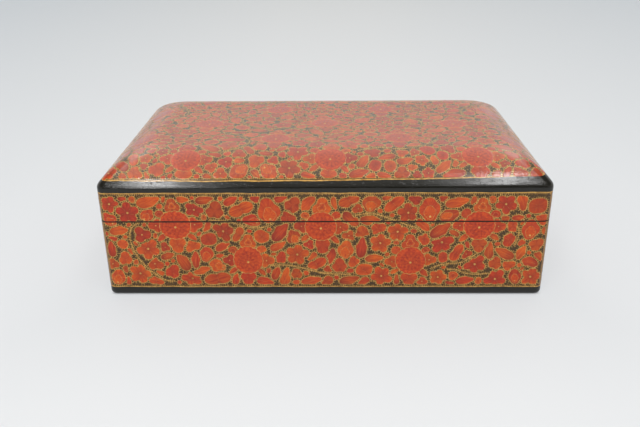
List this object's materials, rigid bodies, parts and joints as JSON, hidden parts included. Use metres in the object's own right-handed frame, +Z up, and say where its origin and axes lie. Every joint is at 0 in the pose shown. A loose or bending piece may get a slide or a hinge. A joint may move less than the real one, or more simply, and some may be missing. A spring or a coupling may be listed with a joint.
{
  "type": "papier mache box",
  "caption": "Rectangular lacquered papier mache keepsake box with a deep base, an inner lip and a lift-off lid with a pillow-shaped crown, covered in painted flowers.",
  "frame": {"origin": "middle of the underside, on the surface the box stands on", "axes": "+Z up, +X along the long side, -Y out of the front face"},
  "size_m": [0.3, 0.178, 0.0982],
  "materials": {
    "painted_lacquer": "papier mache painted with red flowers outlined in gold on a dark ground, black and gold bands, under a glossy clear varnish",
    "black_lacquer": "inside faces and underside painted black and varnished, semi-gloss",
    "lining_card": "black paper-covered card, matt",
    "flower_red": "hand-painted vermilion petals and leaves, slightly raised, varnished",
    "gold_paint": "fine brush lines in muted gold paint, slightly raised, varnished"
  },
  "bodies": {
    "base": {"base_front_wall": "painted_lacquer", "base_back_wall": "painted_lacquer", "base_left_wall": "painted_lacquer", "base_right_wall": "painted_lacquer", "base_floor": "black_lacquer", "floor_lining": "lining_card", "liner_front": "black_lacquer", "liner_back": "black_lacquer", "liner_left": "black_lacquer", "liner_right": "black_lacquer"},
    "lid": {"lid_front_wall": "painted_lacquer", "lid_back_wall": "painted_lacquer", "lid_left_wall": "painted_lacquer", "lid_right_wall": "painted_lacquer", "lid_crown": "painted_lacquer"}
  },
  "joints": [
    {"name": "lid_lift", "type": "slide", "parent": "base", "child": "lid", "axis": [0, 0, 1], "range_m": [0, 0.12]}
  ]
}
